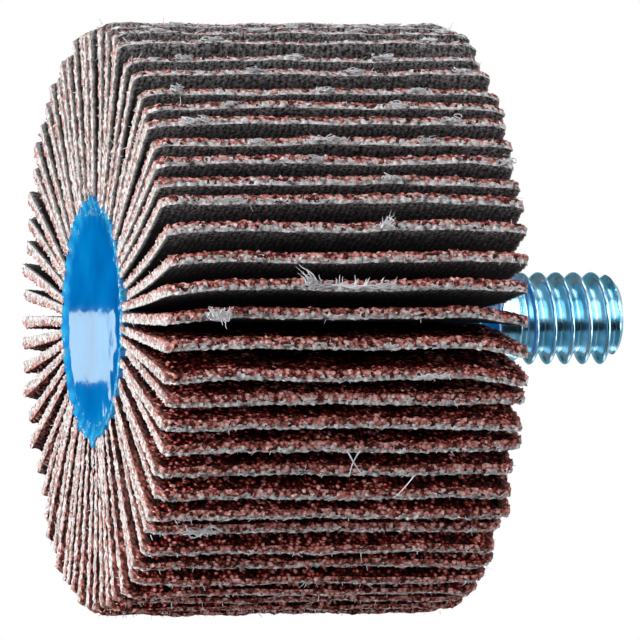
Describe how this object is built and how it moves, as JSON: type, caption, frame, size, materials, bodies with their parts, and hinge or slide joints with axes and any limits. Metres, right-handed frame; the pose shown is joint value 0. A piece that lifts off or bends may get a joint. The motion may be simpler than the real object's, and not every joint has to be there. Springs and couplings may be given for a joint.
{
  "type": "flap wheel",
  "caption": "Flap wheel: radial abrasive cloth flaps held in a cast blue resin hub, with a coarse threaded steel stud for mounting.",
  "frame": {"origin": "centre of the flap pack's lower end, on the wheel axis, where the flap edges touch the floor", "axes": "+Z along the wheel axis, from the resin end face towards the tip of the stud"},
  "size_m": [0.0404, 0.0404, 0.0372],
  "materials": {
    "abrasive_cloth": "matte",
    "cast_resin": "gloss",
    "zinc_plated_steel": "satin"
  },
  "bodies": {
    "root": {"resin_hub": "cast_resin", "threaded_stud": "zinc_plated_steel", "flap_pair_01": "abrasive_cloth", "flap_pair_02": "abrasive_cloth", "flap_pair_03": "abrasive_cloth", "flap_pair_04": "abrasive_cloth", "flap_pair_05": "abrasive_cloth", "flap_pair_06": "abrasive_cloth", "flap_pair_07": "abrasive_cloth", "flap_pair_08": "abrasive_cloth", "flap_pair_09": "abrasive_cloth", "flap_pair_10": "abrasive_cloth", "flap_pair_11": "abrasive_cloth", "flap_pair_12": "abrasive_cloth", "flap_pair_13": "abrasive_cloth", "flap_pair_14": "abrasive_cloth", "flap_pair_15": "abrasive_cloth", "flap_pair_16": "abrasive_cloth", "flap_pair_17": "abrasive_cloth", "flap_pair_18": "abrasive_cloth", "flap_pair_19": "abrasive_cloth", "flap_pair_20": "abrasive_cloth", "flap_pair_21": "abrasive_cloth", "flap_pair_22": "abrasive_cloth", "flap_pair_23": "abrasive_cloth", "flap_pair_24": "abrasive_cloth", "flap_pair_25": "abrasive_cloth", "flap_pair_26": "abrasive_cloth", "flap_pair_27": "abrasive_cloth", "flap_pair_28": "abrasive_cloth", "flap_pair_29": "abrasive_cloth", "flap_pair_30": "abrasive_cloth", "flap_pair_31": "abrasive_cloth", "flap_pair_32": "abrasive_cloth", "flap_pair_33": "abrasive_cloth", "flap_pair_34": "abrasive_cloth"}
  },
  "joints": []
}
